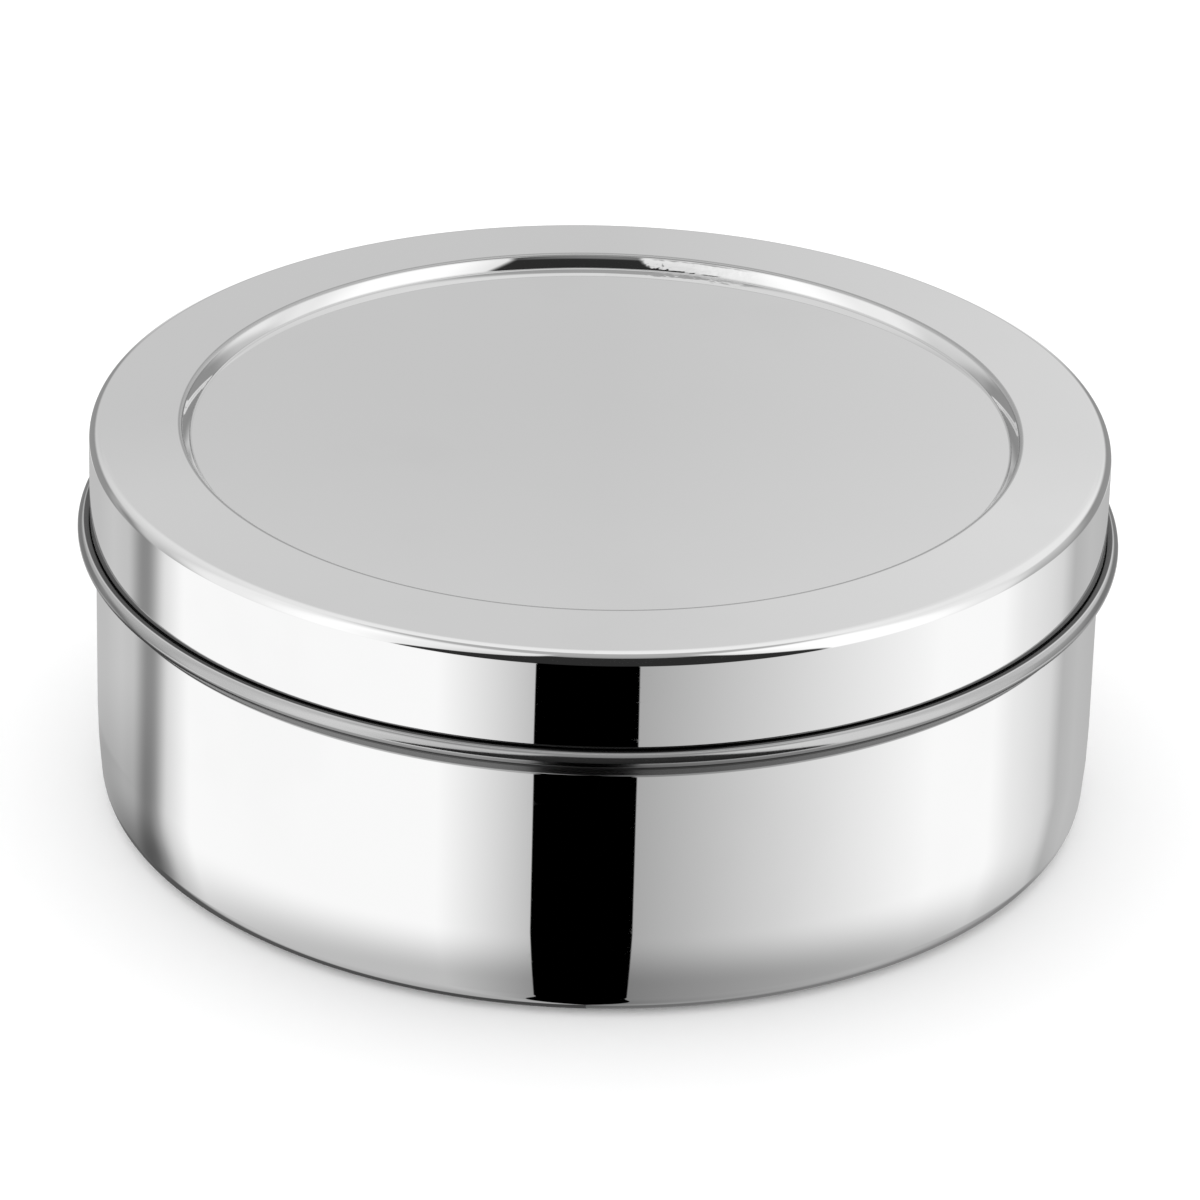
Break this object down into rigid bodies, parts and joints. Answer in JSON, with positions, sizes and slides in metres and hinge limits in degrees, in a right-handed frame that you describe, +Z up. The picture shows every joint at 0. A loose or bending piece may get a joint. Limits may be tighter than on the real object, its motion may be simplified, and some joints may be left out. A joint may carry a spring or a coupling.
{
  "type": "spice box",
  "caption": "Round stainless steel spice box with a push-on lid, small bowls inside, an inner lid with a knob, and a spoon.",
  "frame": {"origin": "on the table under the centre of the closed box", "axes": "+Z up along the axis of the round box, +X along the spoon towards its scoop, -Y towards the side where the spoon lies"},
  "size_m": [0.2048, 0.2048, 0.078],
  "materials": {
    "polished_steel": "stainless steel sheet, spun and polished to a mirror outside",
    "bowl_steel": "stainless steel sheet, bright, with fine turning marks inside",
    "inner_lid_steel": "stainless steel sheet, bright, finely brushed in circles",
    "knob_steel": "turned stainless steel, polished",
    "hardware_steel": "plain steel fastener, satin",
    "spoon_steel": "pressed stainless steel, polished, finely scratched"
  },
  "bodies": {
    "box": {"box_body": "polished_steel"},
    "centre_bowl": {"centre_bowl": "bowl_steel"},
    "bowl_1": {"bowl_1": "bowl_steel"},
    "bowl_2": {"bowl_2": "bowl_steel"},
    "bowl_3": {"bowl_3": "bowl_steel"},
    "bowl_4": {"bowl_4": "bowl_steel"},
    "bowl_5": {"bowl_5": "bowl_steel"},
    "bowl_6": {"bowl_6": "bowl_steel"},
    "inner_lid": {"inner_lid": "inner_lid_steel", "inner_lid_knob": "knob_steel", "knob_washer": "hardware_steel", "knob_screw": "hardware_steel"},
    "spoon": {"spoon": "spoon_steel"},
    "lid": {"lid": "polished_steel"}
  },
  "joints": [
    {"name": "centre_bowl_lift", "type": "slide", "parent": "box", "child": "centre_bowl", "axis": [0, 0, 1], "range_m": [0, 0.095]},
    {"name": "bowl_1_lift", "type": "slide", "parent": "box", "child": "bowl_1", "axis": [0, 0, 1], "range_m": [0, 0.095]},
    {"name": "bowl_2_lift", "type": "slide", "parent": "box", "child": "bowl_2", "axis": [0, 0, 1], "range_m": [0, 0.095]},
    {"name": "bowl_3_lift", "type": "slide", "parent": "box", "child": "bowl_3", "axis": [0, 0, 1], "range_m": [0, 0.095]},
    {"name": "bowl_4_lift", "type": "slide", "parent": "box", "child": "bowl_4", "axis": [0, 0, 1], "range_m": [0, 0.095]},
    {"name": "bowl_5_lift", "type": "slide", "parent": "box", "child": "bowl_5", "axis": [0, 0, 1], "range_m": [0, 0.095]},
    {"name": "bowl_6_lift", "type": "slide", "parent": "box", "child": "bowl_6", "axis": [0, 0, 1], "range_m": [0, 0.095]},
    {"name": "inner_lid_lift", "type": "slide", "parent": "centre_bowl", "child": "inner_lid", "axis": [0, 0, 1], "range_m": [0, 0.06]},
    {"name": "spoon_lift", "type": "slide", "parent": "inner_lid", "child": "spoon", "axis": [0, 0, 1], "range_m": [0, 0.06]},
    {"name": "lid_lift", "type": "slide", "parent": "spoon", "child": "lid", "axis": [0, 0, 1], "range_m": [0, 0.08]}
  ],
  "couplings": [
    {"joint": "bowl_1_lift", "follows": "centre_bowl_lift", "ratio": 1},
    {"joint": "bowl_2_lift", "follows": "centre_bowl_lift", "ratio": 1},
    {"joint": "bowl_3_lift", "follows": "centre_bowl_lift", "ratio": 1},
    {"joint": "bowl_4_lift", "follows": "centre_bowl_lift", "ratio": 1},
    {"joint": "bowl_5_lift", "follows": "centre_bowl_lift", "ratio": 1},
    {"joint": "bowl_6_lift", "follows": "centre_bowl_lift", "ratio": 1}
  ]
}
